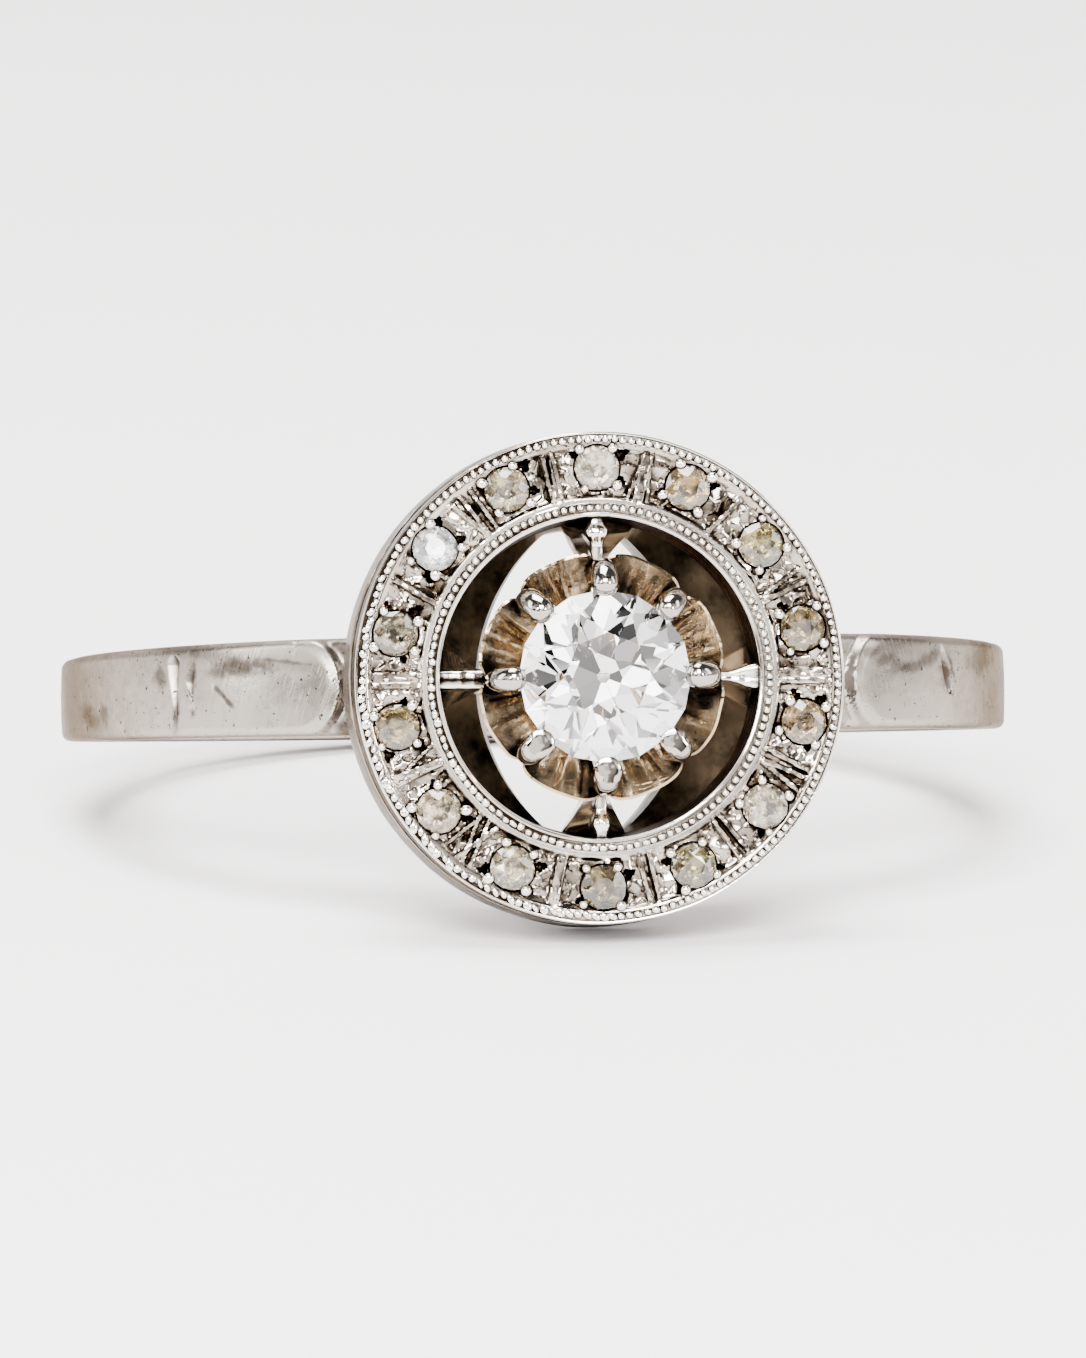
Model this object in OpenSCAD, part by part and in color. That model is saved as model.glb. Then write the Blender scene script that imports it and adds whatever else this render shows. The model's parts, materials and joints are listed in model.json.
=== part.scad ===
// Round halo ring with one raised centre stone, lying on its side as it rests by itself.
// Millimetres. The part is drawn upright about the finger's centre first: the finger runs along Z
// and the head looks along -Y. The last step tips it until the head's rim and the back of the
// shank both touch the ground at z = 0.

/* [Shank] */
// Inside diameter of the finger hole
finger_d = 17.5; // [16.5:0.1:19]
// Thickness of the shank at the two sides of the finger
shank_t = 1.2; // [1.1:0.05:1.4]
// How much thinner than the sides the worn back of the shank is
back_wear = 0.12; // [0:0.02:0.2]
// Width of the shank at the back of the finger
back_w = 1.4; // [1.2:0.05:1.7]
// Width of the shank at the shoulders, beside the head
shoulder_w = 1.95; // [1.8:0.05:2.2]
// Depth of the step down from a shoulder's tongue to the shank beside the head
tongue_step = 0.25; // [0.15:0.05:0.35]
// Angle from the head's axis to the round end of the left tongue
left_tongue_angle = 29; // [28:0.5:34]
// Angle from the head's axis to the round end of the right tongue
right_tongue_angle = 35; // [28:0.5:36]
// Angle from the head's axis to the notch across a shoulder
notch_angle = 52.8; // [50:0.1:60]
// Depth of a notch at the upper edge of the shank
notch_depth = 0.34; // [0.2:0.02:0.4]

/* [Head] */
// Height of the halo's face over the finger
face_h = 3.95; // [3.8:0.05:4.2]
// Outside diameter of the halo plate
halo_d = 9.7; // [9.7:0.1:10]
// Diameter of the round opening in the halo plate
opening_d = 6.34; // [6.2:0.02:6.4]
// Thickness of the halo plate at the opening
plate_t = 1; // [0.9:0.05:1.1]
// Depth of the upright outer wall below the halo's face
skirt_h = 2.1; // [1.8:0.05:2.3]
// How much wider the outer wall is at its foot than at the halo's face, on each side
skirt_flare = 0.06; // [0:0.02:0.1]
// Thickness of the metal walls
wall_t = 0.42; // [0.35:0.01:0.45]

/* [Small stones] */
// Number of small stones round the halo
halo_count = 14; // [12:1:14]
// Diameter of a small stone
halo_stone_d = 0.9; // [0.8:0.01:0.9]
// Radius of the circle that the small stones stand on
halo_stone_r = 4.13; // [4.1:0.01:4.13]

/* [Centre stone] */
// Diameter of the centre stone
stone_d = 3.4; // [3.3:0.02:3.46]
// Height of the centre stone's girdle over the halo's face
stone_h = 0.75; // [0.7:0.05:0.85]
// Radius of a claw's wire
claw_r = 0.26; // [0.22:0.01:0.28]

/* [Hidden] */
metal = "#c9c5bf";
tarnished = "#8f7f68";
diamond = "#f2f3f5";
old_stone = "#b9b8a8";

// The finger hole and the shank
bore_r = finger_d / 2;
shank_r = bore_r + shank_t;
tongue_end_r = 1.05;
tongue_reach = 6;
shoulder_angle = 31;
recess_angle = shoulder_angle + 12;
notch_w = 0.3;
// A notch runs out of the metal before the lower edge, so it is tilted along its length
notch_run = shoulder_w * 0.86;

// The halo plate and its rims, with z counted from the halo's face
face_z = bore_r + face_h;
halo_r = halo_d / 2;
opening_r = opening_d / 2;
opening_back_r = opening_r - 0.08;
milgrain_r = 0.08;
outer_rim_r = halo_r - 0.15;
inner_rim_r = opening_r + 0.18;
channel_in_r = inner_rim_r + 0.1;
channel_out_r = outer_rim_r - 0.07;
channel_depth = 0.08;
skirt_r = halo_r + skirt_flare;
seam_w = 0.11;
seam_z = -0.85;
gallery_top_r = 4.15;
gallery_foot_r = 3.35;
gallery_foot_z = -4.6;
foot_top_z = -3;
foot_opening = 2.05;
foot_side_r = 4;

// Seats, grains and ridges of the small stones
gap = 0.03;
azure_r = 0.26;
culet_hole_r = 0.3;
halo_girdle_z = -0.05;
grain_r = 0.095;
grain_from_stone = halo_stone_d / 2 + 0.07;
ridge_w = 0.14;
ridge_h = 0.07;

// The cup, its petals, the claws and the bars, with z counted from the halo's face
claw_count = 8;
cup_rim_r = 2.46;
cup_rim_z = 0.35;
cup_waist_r = 1.55;
cup_waist_z = -0.75;
cup_foot_r = 1.3;
cup_foot_z = -2.1;
cup_wall_t = 0.22;
claw_notch_r = 0.39;
claw_notch_out = cup_rim_r + 0.16;
flute_r = 0.9;
flute_depth = 0.09;
bar_front_w = 0.4;
bar_back_w = 0.52;
bar_top_z = -0.22;
bar_foot_z = -1.7;

// The claws: a leg, a shoulder and a tip bent over the girdle
leg_foot = [1.9, -0.9];
leg_top = [2.06, stone_h + 0.05];
claw_tip = [1.78, stone_h + 0.27];

// Proportions of the stones, as shares of their diameter
centre_cut = [0.5, 0.165, 0.02, 0.43, 0.07];
small_cut = [0.55, 0.15, 0.03, 0.36, 0.1];

// The pose at rest: the skirt's back edge and the back edge of the shank share the ground
rim_out = bore_r + face_h - skirt_h;
back_out = shank_r - back_wear;
tip = atan((skirt_r - back_w / 2) / (rim_out + back_out));
lift = back_out * sin(tip) + back_w / 2 * cos(tip);
claw_front = (face_z + claw_tip[1]) * cos(tip) + claw_tip[0] * sin(tip) + claw_r * 0.94;
shank_back = back_out * cos(tip) + back_w / 2 * sin(tip);
slide = (claw_front - shank_back) / 2;

function two_digits(i) = i < 10 ? str("0", i) : str(i);
function halo_name(i) = str("halo_stone_", two_digits(i));

$fn = 64;

// Stands the upright ring in its pose at rest
module at_rest() {
    translate([0, slide, lift]) rotate([-tip, 0, 0]) children();
}

// Turns drawings with z along the head's axis, counted from the halo's face, into the ring
module on_head() {
    rotate([90, 0, 0]) translate([0, 0, face_z]) children();
}

// Repeats its children round the head's axis, clockwise from the top
module round_head(count, start = 0) {
    for (i = [0:count - 1]) rotate([0, 0, -start - i * 360 / count]) children();
}

// Repeats its children on both shoulders, turned away from the head by the right and the left angle
module on_shoulders(angles) {
    for (side = [0, 1]) mirror([side, 0, 0]) rotate([0, 0, angles[side]]) rotate([90, 0, 0]) children();
}

// The tapering width of the shank, as a wedge seen from the side of the finger
module shank_wedge() {
    shoulder_y = shank_r * cos(shoulder_angle);
    slope = (shoulder_w - back_w) / (shoulder_y + back_out);
    front_w = back_w + slope * (face_z + back_out);
    rotate([90, 0, 90]) linear_extrude(4 * shank_r, center = true) polygon([
        [back_out + 1, (back_w - slope) / 2],
        [-face_z, front_w / 2],
        [-face_z, -front_w / 2],
        [back_out + 1, -(back_w - slope) / 2]
    ]);
}

// The raised tongue's outline, with its round end towards the head
module tongue_block() {
    translate([0, 0, bore_r - 1]) linear_extrude(shank_t + 4) {
        translate([tongue_end_r, 0]) circle(tongue_end_r);
        translate([tongue_end_r, -2 * shoulder_w]) square([tongue_reach, 4 * shoulder_w]);
    }
}

// What is filed away beside the head, so that the tongues stand proud
module tongue_recess() {
    difference() {
        translate([-shank_r, -shank_r - 2, -shoulder_w])
            cube([2 * shank_r, shank_r + 2 - shank_r * cos(recess_angle), 2 * shoulder_w]);
        cylinder(h = 4 * shoulder_w, r = shank_r - tongue_step, center = true);
        on_shoulders([right_tongue_angle, left_tongue_angle]) tongue_block();
    }
}

// A leaf-shaped graver cut that starts at the upper edge and runs out before the lower one
module notch() {
    tilt = atan(notch_depth / notch_run);
    translate([0, shoulder_w / 2, shank_r - notch_depth]) rotate([tilt, 0, 0])
        rotate([90, 0, 0]) linear_extrude(4 * shoulder_w, center = true)
            polygon([[0, 0], [notch_w, 2 * notch_depth], [-notch_w, 2 * notch_depth]]);
}

module shank() {
    color(metal) difference() {
        intersection() {
            translate([0, -back_wear / 2, 0])
                cylinder(h = 2 * shoulder_w, r = shank_r - back_wear / 2, center = true);
            shank_wedge();
        }
        tongue_recess();
        on_shoulders([notch_angle, notch_angle]) notch();
    }
}

// The cone of the gallery's wall up to a height, set in from its outside
module gallery_cone(inset, top_z = -plate_t / 2) {
    slope = (gallery_top_r - gallery_foot_r) / (-plate_t / 2 - gallery_foot_z);
    height = top_z - gallery_foot_z;
    foot_r = gallery_foot_r - inset;
    translate([0, 0, gallery_foot_z]) cylinder(h = height, r1 = foot_r, r2 = foot_r + slope * height);
}

module gallery() {
    color(metal) difference() {
        gallery_cone(0);
        gallery_cone(wall_t);
    }
}

// Two crescents that the ends of the shank leave in the gallery's foot, one on each side
module foot_crescents() {
    offset_x = foot_side_r - foot_opening;
    color(metal) for (side = [-1, 1]) difference() {
        gallery_cone(wall_t / 2, foot_top_z);
        translate([side * offset_x, 0, gallery_foot_z - 1])
            cylinder(h = foot_top_z - gallery_foot_z + 2, r = foot_side_r);
    }
}

module skirt() {
    color(metal) rotate_extrude() polygon([
        [halo_r, -plate_t / 2],
        [skirt_r, -skirt_h],
        [skirt_r - wall_t, -skirt_h],
        [halo_r - wall_t, -plate_t / 2]
    ]);
}

module halo_plate() {
    color(metal) rotate_extrude() polygon([
        [opening_r, 0],
        [channel_in_r, 0],
        [channel_in_r + channel_depth, -channel_depth],
        [channel_out_r - channel_depth, -channel_depth],
        [channel_out_r, 0],
        [halo_r, 0],
        [halo_r, -plate_t],
        [opening_back_r, -plate_t]
    ]);
}

module milgrain_rims() {
    color(metal) for (r = [outer_rim_r, inner_rim_r]) rotate_extrude() translate([r, 0]) circle(milgrain_r);
}

// The room a stone of diameter d takes up in the metal, a hair larger all round, with a hole
// drilled on through the metal below it. Its height is counted from the girdle's lower edge.
module bearing(d, cut, hole_r) {
    r = d / 2 + gap;
    top_z = d * (cut[1] + cut[2]) + gap;
    slope = cut[3] / (0.5 - 0.5 * cut[4]);
    rotate_extrude() polygon([
        [0, top_z],
        [d / 2 * cut[0] + gap, top_z],
        [r, d * cut[2] + gap],
        [r, -gap],
        [hole_r, -gap - (r - hole_r) * slope],
        [hole_r, -3 * plate_t],
        [0, -3 * plate_t]
    ]);
}

module seam() {
    rotate_extrude() translate([halo_r, seam_z]) rotate(45) square(seam_w, center = true);
}

module halo_seat() {
    translate([0, halo_stone_r, halo_girdle_z]) bearing(halo_stone_d, small_cut, azure_r);
}

module grains() {
    color(metal) round_head(halo_count) translate([0, halo_stone_r, -channel_depth])
        for (turn = [45:90:315]) rotate([0, 0, turn]) translate([grain_from_stone, 0, 0]) sphere(grain_r);
}

module ridges() {
    color(metal) round_head(halo_count, 180 / halo_count)
        translate([-ridge_w / 2, channel_in_r, -channel_depth - ridge_h])
            cube([ridge_w, channel_out_r - channel_in_r, 2 * ridge_h]);
}

module cross_bars() {
    reach = opening_back_r + 0.15;
    color(metal) round_head(4) rotate([0, 0, 90]) rotate([90, 0, 90]) translate([0, 0, cup_foot_r])
        linear_extrude(reach - cup_foot_r) polygon([
            [-bar_front_w / 2, bar_top_z],
            [bar_front_w / 2, bar_top_z],
            [bar_back_w / 2, bar_foot_z],
            [-bar_back_w / 2, bar_foot_z]
        ]);
}

// The flared cup: petals scooped on the inside, with a notch for each claw between them
module cup() {
    flare = cup_rim_z - cup_waist_z;
    slope = atan2(flare, cup_rim_r - cup_waist_r);
    color(tarnished) difference() {
        rotate_extrude() polygon([
            [cup_rim_r, cup_rim_z],
            [cup_waist_r, cup_waist_z],
            [cup_foot_r, cup_foot_z],
            [cup_foot_r - cup_wall_t, cup_foot_z],
            [cup_waist_r - cup_wall_t, cup_waist_z + cup_wall_t / 2],
            [cup_rim_r - cup_wall_t, cup_rim_z]
        ]);
        round_head(claw_count) translate([0, claw_notch_out, cup_rim_z - flare / 2])
            cylinder(h = flare, r = claw_notch_r);
        round_head(claw_count, 180 / claw_count)
            translate([0, cup_rim_r - cup_wall_t, cup_rim_z]) rotate([slope, 0, 0])
                translate([0, 0, flute_r - flute_depth]) rotate([90, 0, 0])
                    cylinder(h = 2.4 * flare, r = flute_r, center = true);
    }
}

// A round wire between two points of a claw's side view, each [distance from the axis, height]
module wire(from, to, r) {
    run = to - from;
    translate([0, from[0], from[1]]) rotate([-atan2(run[0], run[1]), 0, 0]) cylinder(h = norm(run), r = r);
}

module claw() {
    wire(leg_foot, leg_top, claw_r);
    translate([0, leg_top[0], leg_top[1]]) sphere(claw_r * 1.03);
    wire(leg_top, claw_tip, claw_r * 0.92);
    translate([0, claw_tip[0], claw_tip[1]]) sphere(claw_r * 0.94);
}

module claws() {
    color(metal) round_head(claw_count) claw();
}

// An old brilliant cut of diameter d. cut lists, as shares of d, the table's width, the crown's
// height, the girdle's thickness, the pavilion's depth and the culet's width.
module old_cut(d, cut) {
    r = d / 2;
    table_r = r * cut[0];
    culet_r = r * cut[4];
    crown_z = d * (cut[1] + cut[2]);
    girdle_z = d * cut[2];
    keel_z = -d * cut[3];
    // A kite's side corners lie on the plane through the table's edge and the girdle
    star_r = (table_r + r) / 2 * 1.04;
    flat = cos(22.5);
    star_z = crown_z - (crown_z - girdle_z) * (star_r * flat - table_r) / (r - table_r);
    // The lower halves end at corners on the planes of the eight mains
    half_r = r * 0.38;
    half_z = keel_z * (r - half_r * flat) / (r - culet_r);

    function ring(n, radius, z, start = 0) =
        [for (i = [0:n - 1]) [radius * cos(start + i * 360 / n), radius * sin(start + i * 360 / n), z]];

    points = concat(
        ring(8, table_r, crown_z),
        ring(8, star_r, star_z, 22.5),
        ring(16, r, girdle_z),
        ring(16, r, 0),
        ring(8, half_r, half_z, 22.5),
        ring(8, culet_r / flat, keel_z, 22.5)
    );
    table = 0;
    star = 8;
    top = 16;
    low = 32;
    half = 48;
    culet = 56;
    faces = concat(
        [[for (i = [7:-1:0]) table + i]],
        [for (i = [0:7]) [table + i, table + (i + 1) % 8, star + i]],
        [for (i = [0:7]) [table + i, star + i, top + 2 * i, star + (i + 7) % 8]],
        [for (i = [0:7]) [star + i, top + 2 * i + 1, top + 2 * i]],
        [for (i = [0:7]) [star + i, top + (2 * i + 2) % 16, top + 2 * i + 1]],
        [for (i = [0:15]) [top + i, top + (i + 1) % 16, low + (i + 1) % 16, low + i]],
        [for (i = [0:7]) [low + 2 * i, low + 2 * i + 1, half + i]],
        [for (i = [0:7]) [low + 2 * i + 1, low + (2 * i + 2) % 16, half + i]],
        [for (i = [0:7]) [low + 2 * i, half + i, culet + i, culet + (i + 7) % 8, half + (i + 7) % 8]],
        [[for (i = [0:7]) culet + i]]
    );
    polyhedron(points, faces);
}

module mount() {
    at_rest() difference() {
        union() {
            difference() {
                shank();
                on_head() gallery_cone(wall_t / 2);
            }
            on_head() {
                difference() {
                    union() {
                        gallery();
                        foot_crescents();
                        skirt();
                        halo_plate();
                        milgrain_rims();
                        ridges();
                        grains();
                    }
                    seam();
                    round_head(halo_count) halo_seat();
                }
                cross_bars();
                cup();
                claws();
            }
        }
        on_head() translate([0, 0, stone_h]) bearing(stone_d, centre_cut, culet_hole_r);
        cylinder(h = 4 * halo_r, r = bore_r, center = true);
    }
}

module centre_stone() {
    color(diamond) at_rest() on_head() translate([0, 0, stone_h]) old_cut(stone_d, centre_cut);
}

module halo_stone(i) {
    turn = 360 / halo_count * (i - 1);
    color(old_stone) at_rest() on_head() rotate([0, 0, -turn])
        translate([0, halo_stone_r, halo_girdle_z]) rotate([0, 0, 17 * i]) old_cut(halo_stone_d, small_cut);
}

mount();
centre_stone();
for (i = [1:halo_count]) halo_stone(i);
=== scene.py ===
import json
import math

import bmesh
import bpy
import numpy as np
from mathutils import Matrix, Vector


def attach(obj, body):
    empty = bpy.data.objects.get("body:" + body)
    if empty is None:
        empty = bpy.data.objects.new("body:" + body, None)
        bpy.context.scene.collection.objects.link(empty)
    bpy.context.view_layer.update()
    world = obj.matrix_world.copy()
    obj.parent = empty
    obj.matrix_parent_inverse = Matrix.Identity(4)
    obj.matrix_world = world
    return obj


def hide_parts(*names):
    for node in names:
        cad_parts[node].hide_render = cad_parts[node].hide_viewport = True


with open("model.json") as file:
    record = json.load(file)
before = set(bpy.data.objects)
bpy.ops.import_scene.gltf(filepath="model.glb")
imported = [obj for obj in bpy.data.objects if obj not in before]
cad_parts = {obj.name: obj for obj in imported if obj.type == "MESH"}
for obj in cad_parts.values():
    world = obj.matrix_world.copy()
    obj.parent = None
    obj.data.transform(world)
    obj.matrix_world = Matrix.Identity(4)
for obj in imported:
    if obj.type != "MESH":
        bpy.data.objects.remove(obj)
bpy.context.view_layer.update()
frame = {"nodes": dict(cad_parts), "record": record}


# Shank with its shoulders
# The band round the finger, of 18 ct white gold: hammered and filed from one bar, polished, then worn
# soft. The raised tongues beside the head and the notch across each shoulder are filed and cut by hand.
bore_mount = next(m for m in frame["record"]["mounts"] if m["name"] == "finger_bore")
bore_centre = np.array(bore_mount["pos_m"])
along_finger = np.array(bore_mount["axis"]) / np.linalg.norm(bore_mount["axis"])
to_the_right = np.array([1.0, 0.0, 0.0])
to_the_back = np.cross(along_finger, to_the_right)

# Sizes are in mm. Angles round the band are in degrees from the head, and less than 0 on its left.
bore_r = 8.75
shank_r = 9.95
back_out = 9.83
back_w = 1.4
shoulder_w = 1.95
shoulder_angle = 31.0
shank_end_angle = 13.5
edge_r = 0.17
inner_edge_r = 0.12
crown_h = 0.03
hammered_depth = 0.006
left_tongue_angle = 29.0
right_tongue_angle = 35.0
tongue_end_r = 1.05
tongue_step = 0.25
tongue_lip = 0.03
bevel_w = 0.26
bevel_drop = 0.03
notch_angle = 52.8
notch_depth = 0.34
left_notch_top, left_notch_length, left_notch_half_w = 0.74, 1.55, 0.23
right_notch_top, right_notch_length, right_notch_half_w = 0.8, 1.05, 0.27
thin_cut_angle, thin_cut_top, thin_cut_length = -50.2, 0.68, 0.85
thin_cut_depth, thin_cut_half_w = 0.13, 0.12
dent_angle, dent_z, dent_r, dent_depth = -50.1, -0.4, 0.14, 0.02
scratch_angle, scratch_turn, scratch_top, scratch_length = -46.6, 3.1, 0.13, 0.48
scratch_depth, scratch_half_w, scratch_slant = 0.006, 0.06, 0.7


def in_ring(x, y, z):
    """Points in mm, with the finger along z and the head looking along -y, as metres in the row's frame."""
    x, y, z = (np.asarray(value, float)[..., None] / 1000 for value in np.broadcast_arrays(x, y, z))
    return bore_centre + x * to_the_right + y * to_the_back + z * along_finger


def rise(value, start, end):
    """Goes smoothly from 0 at start to 1 at end."""
    share = np.clip((np.asarray(value, float) - start) / (end - start), 0, 1)
    return share * share * (3 - 2 * share)


def waviness(a, b, size, seed):
    """A soft unevenness, mostly from -1 to 1, over two places in mm, with waves about as long as size."""
    random = np.random.default_rng(seed)
    total = 0
    for _ in range(7):
        angle, phase = random.uniform(0, math.tau, 2)
        pace = math.tau / size * random.uniform(0.6, 1.5)
        total = total + np.sin(pace * (a * math.cos(angle) + b * math.sin(angle)) + phase)
    return total / 4


def grid_faces(rows, columns, closed_rows=False, closed_columns=False, start=0):
    """Four-sided faces over a grid of points that is stored row by row."""
    index = np.arange(rows * columns).reshape(rows, columns) + start
    if closed_rows:
        index = np.vstack([index, index[:1]])
    if closed_columns:
        index = np.hstack([index, index[:, :1]])
    corners = [index[:-1, :-1], index[:-1, 1:], index[1:, 1:], index[1:, :-1]]
    return np.stack(corners, -1).reshape(-1, 4).tolist()


def tube_faces(rows, columns, start=0):
    """Faces over rings of points that are stored one by one, with a flat face over each end."""
    first_ring = list(range(start, start + columns))
    last_ring = [point + (rows - 1) * columns for point in first_ring]
    return grid_faces(rows, columns, closed_columns=True, start=start) + [first_ring[::-1], last_ring]


def linear(code):
    """An sRGB hex colour as Blender's linear one."""
    parts = [int(code[i:i + 2], 16) / 255 for i in (1, 3, 5)]
    return (*(p / 12.92 if p <= 0.04045 else ((p + 0.055) / 1.055) ** 2.4 for p in parts), 1)


def add_node(tree, kind, links=None, **settings):
    """Adds one node. links gives each input a value, a socket to be joined or a node's first output."""
    made = tree.nodes.new("ShaderNode" + kind)
    for name, value in settings.items():
        setattr(made, name, value)
    for name, value in (links or {}).items():
        value = value.outputs[0] if isinstance(value, bpy.types.Node) else value
        if isinstance(value, bpy.types.NodeSocket):
            tree.links.new(value, made.inputs[name])
        else:
            made.inputs[name].default_value = value
    return made


# A change that is soft at both ends
eased = {"interpolation_type": "SMOOTHSTEP"}


def new_material(name):
    """A material, with its nodes and its shader."""
    material = bpy.data.materials.new(name)
    material.use_nodes = True
    return material, material.node_tree, material.node_tree.nodes["Principled BSDF"]


def white_gold(name, clean, stained, roughness, stain_at=(0.35, 0.75), scratches=0.3, uneven=0.2, patches=0.5,
               hollow_mm=0.6, marks=(), pitting=0.0, grazing="#ffffff"):
    """Worn 18 ct white gold. clean and stained are its colours on open faces and in hollows, stain_at the
    range of open sky over which one turns to the other, in hollows about hollow_mm wide, and patches how
    blotchy that is. scratches and uneven are the depths, in hundredths of a mm, of the hairlines and of the
    hollows that hand polishing leaves. marks are smudges, each with its middle in metres, its size in mm
    along x, y and z, and its strength. pitting is the strength of the small dark pits in the metal, and
    grazing the tint of light that skims over it."""
    gold, tree, shader = new_material(name)
    place = add_node(tree, "TexCoord").outputs["Object"]
    shader.inputs["Metallic"].default_value = 1
    shader.inputs["Specular Tint"].default_value = linear(grazing)

    # Smudges about 1.2 mm across, and specks of dirt about 0.1 mm across
    smudge = add_node(tree, "TexNoise", {"Vector": place, "Scale": 850, "Detail": 6, "Roughness": 0.6})
    speck = add_node(tree, "TexNoise", {"Vector": place, "Scale": 9000, "Detail": 3})
    open_sky = add_node(tree, "AmbientOcclusion", {"Distance": hollow_mm / 1000}, samples=6)
    blot = add_node(tree, "Math", {0: smudge, 1: patches, 2: -patches / 2}, operation="MULTIPLY_ADD")
    worn = add_node(tree, "Math", {0: open_sky.outputs["AO"], 1: blot}, operation="ADD")
    pit = add_node(tree, "MapRange", {"Value": speck, "From Min": 0.66, "From Max": 0.7, "To Max": -pitting})
    worn = add_node(tree, "Math", {0: worn, 1: pit}, operation="ADD")
    bare = add_node(tree, "MapRange", {
        "Value": worn, "From Min": stain_at[0], "From Max": stain_at[1]}, **eased)
    colour = add_node(tree, "Mix", {0: bare, 6: linear(stained), 7: linear(clean)}, data_type="RGBA")

    # Grime about 0.3 mm across breaks up the edge of each mark
    grime = add_node(tree, "TexNoise", {"Vector": place, "Scale": 3500, "Detail": 6, "Roughness": 0.7})
    for middle, size, strength in marks:
        away = add_node(tree, "VectorMath", {0: place, 1: tuple(middle)}, operation="SUBTRACT")
        away = add_node(tree, "VectorMath", {
            0: away, 1: tuple(1000 / side for side in size)}, operation="MULTIPLY")
        away = add_node(tree, "VectorMath", {0: away}, operation="LENGTH")
        ragged = add_node(tree, "Math", {
            0: grime, 1: 1.5, 2: away.outputs["Value"]}, operation="MULTIPLY_ADD")
        mark = add_node(tree, "MapRange", {
            "Value": ragged, "From Min": 1.0, "From Max": 1.9, "To Min": strength, "To Max": 0}, **eased)
        colour = add_node(tree, "Mix", {0: mark, 6: colour.outputs[2], 7: linear(stained)}, data_type="RGBA")
    tree.links.new(colour.outputs[2], shader.inputs["Base Color"])
    rough = add_node(tree, "MapRange", {
        "Value": smudge, "From Min": 0.3, "From Max": 0.7,
        "To Min": roughness * 0.7, "To Max": roughness * 1.4})
    dull = add_node(tree, "Mix", {0: bare, 2: roughness + 0.15, 3: rough})
    tree.links.new(dull.outputs[0], shader.inputs["Roughness"])

    # Hairlines in three directions, about 0.02 mm wide and 1 mm long, which is wide enough to show
    lines = []
    for turn in (0.3, 1.2, 2.3):
        lay = add_node(tree, "Mapping", {
            "Vector": place, "Rotation": (turn, turn * 0.6, turn), "Scale": (700, 26000, 700)})
        line = add_node(tree, "TexNoise", {"Vector": lay, "Scale": 1, "Detail": 2})
        lines.append(add_node(tree, "MapRange", {
            "Value": line, "From Min": 0.64, "From Max": 0.72, "To Max": -scratches}))
    height = add_node(tree, "Math", {0: lines[0], 1: lines[1]}, operation="ADD")
    height = add_node(tree, "Math", {0: height, 1: lines[2]}, operation="ADD")
    hollow = add_node(tree, "Math", {0: smudge, 1: uneven * 10, 2: height}, operation="MULTIPLY_ADD")
    grit = add_node(tree, "Math", {0: speck, 1: uneven, 2: hollow}, operation="MULTIPLY_ADD")
    relief = add_node(tree, "Bump", {"Strength": 0.5, "Distance": 0.00001, "Height": grit})
    tree.links.new(relief.outputs[0], shader.inputs["Normal"])
    return gold


def add_object(name, data):
    """Puts a mesh, a light or a camera into the scene."""
    made = bpy.data.objects.new(name, data)
    bpy.context.scene.collection.objects.link(made)
    return made


def add_piece(name, points, faces, materials, crease=40, welded=True):
    """Makes one piece of the soldered metal from points in metres, with crisp edges above crease degrees."""
    mesh = bpy.data.meshes.new(name)
    mesh.from_pydata(np.asarray(points).reshape(-1, 3).tolist(), [], faces)
    if welded:
        shape = bmesh.new()
        shape.from_mesh(mesh)
        bmesh.ops.remove_doubles(shape, verts=shape.verts, dist=1e-7)
        bmesh.ops.dissolve_degenerate(shape, edges=shape.edges, dist=1e-8)
        bmesh.ops.recalc_face_normals(shape, faces=shape.faces)
        shape.to_mesh(mesh)
        shape.free()
    mesh.polygons.foreach_set("use_smooth", [True] * len(mesh.polygons))
    mesh.set_sharp_from_angle(angle=math.radians(crease))
    for material in materials:
        mesh.materials.append(material)
    piece = add_object(name, mesh)
    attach(piece, "root")
    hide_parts("mount")
    return piece


def groove(depth_share):
    """The depth of a V-shaped cut whose upper edges are worn round, from a share that is 0 at those edges."""
    share = np.maximum(0, depth_share)
    return np.where(share < 0.3, share ** 2 / 0.6, share - 0.15)


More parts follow.
